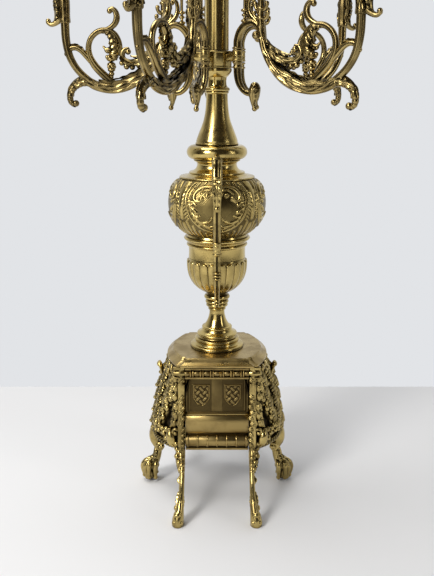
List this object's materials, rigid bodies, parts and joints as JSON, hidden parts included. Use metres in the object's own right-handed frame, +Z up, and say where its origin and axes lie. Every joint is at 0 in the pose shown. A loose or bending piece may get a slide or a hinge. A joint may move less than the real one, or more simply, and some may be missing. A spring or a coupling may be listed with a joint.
{
  "type": "tabletop candelabra",
  "caption": "Free-standing branched candle holder: box base on claw feet, urn stem with side handles, and swivelling scroll arms with drip pans and candle cups.",
  "frame": {"origin": "on the stem's axis at floor level, under the middle of the base", "axes": "+Z up along the stem; -Y is the front, with one plain face of the box; +X to the right seen from the front"},
  "size_m": [0.3437, 0.3467, 0.6764],
  "materials": {
    "cast_brass": "cast in relief, dark in the hollows and rubbed bright on the high points",
    "turned_brass": "turned and polished, slightly tarnished",
    "satin_brass": "satin, tan with brown tarnish",
    "steel": "plain threaded rod, nut and washer, hidden inside"
  },
  "bodies": {
    "stand": {"top_plate": "satin_brass", "front_plate": "satin_brass", "back_plate": "satin_brass", "left_side_casting": "cast_brass", "right_side_casting": "cast_brass", "leg_front_left": "cast_brass", "leg_front_right": "cast_brass", "leg_back_left": "cast_brass", "leg_back_right": "cast_brass", "leg_left": "cast_brass", "leg_right": "cast_brass", "tie_rod": "steel", "rod_washer": "steel", "rod_nut": "steel", "stem_foot": "turned_brass", "fluted_bowl": "cast_brass", "bowl_collar": "turned_brass", "embossed_bulb": "cast_brass", "shoulder_spool": "turned_brass", "shoulder_ring": "turned_brass", "upper_vase": "turned_brass", "arm_hub": "cast_brass", "centre_tube": "turned_brass", "centre_knop": "turned_brass", "centre_drip_pan": "turned_brass", "centre_candle_cup": "turned_brass", "handle_front": "cast_brass", "handle_back": "cast_brass"},
    "branch_front_left": {"arm_front_left": "cast_brass", "pendant_front_left": "cast_brass", "drip_pan_front_left": "turned_brass", "candle_cup_front_left": "turned_brass"},
    "branch_front_right": {"arm_front_right": "cast_brass", "pendant_front_right": "cast_brass", "drip_pan_front_right": "turned_brass", "candle_cup_front_right": "turned_brass"},
    "branch_right": {"arm_right": "cast_brass", "pendant_right": "cast_brass", "drip_pan_right": "turned_brass", "candle_cup_right": "turned_brass"},
    "branch_back": {"arm_back": "cast_brass", "pendant_back": "cast_brass", "drip_pan_back": "turned_brass", "candle_cup_back": "turned_brass"},
    "branch_left": {"arm_left": "cast_brass", "pendant_left": "cast_brass", "drip_pan_left": "turned_brass", "candle_cup_left": "turned_brass"}
  },
  "joints": [
    {"name": "swivel_front_left", "type": "hinge", "parent": "stand", "child": "branch_front_left", "pos_m": [-0.01183, -0.02538, 0.4755], "axis": [0, 0, 1], "range_deg": [-25, 25]},
    {"name": "swivel_front_right", "type": "hinge", "parent": "stand", "child": "branch_front_right", "pos_m": [0.02048, -0.0191, 0.4755], "axis": [0, 0, 1], "range_deg": [-35, 15]},
    {"name": "swivel_right", "type": "hinge", "parent": "stand", "child": "branch_right", "pos_m": [0.02449, 0.01358, 0.4755], "axis": [0, 0, 1], "range_deg": [-25, 25]},
    {"name": "swivel_back", "type": "hinge", "parent": "stand", "child": "branch_back", "pos_m": [-0.00534, 0.02749, 0.4755], "axis": [0, 0, 1], "range_deg": [-25, 25]},
    {"name": "swivel_left", "type": "hinge", "parent": "stand", "child": "branch_left", "pos_m": [-0.02779, 0.00341, 0.4755], "axis": [0, 0, 1], "range_deg": [-25, 25]}
  ]
}
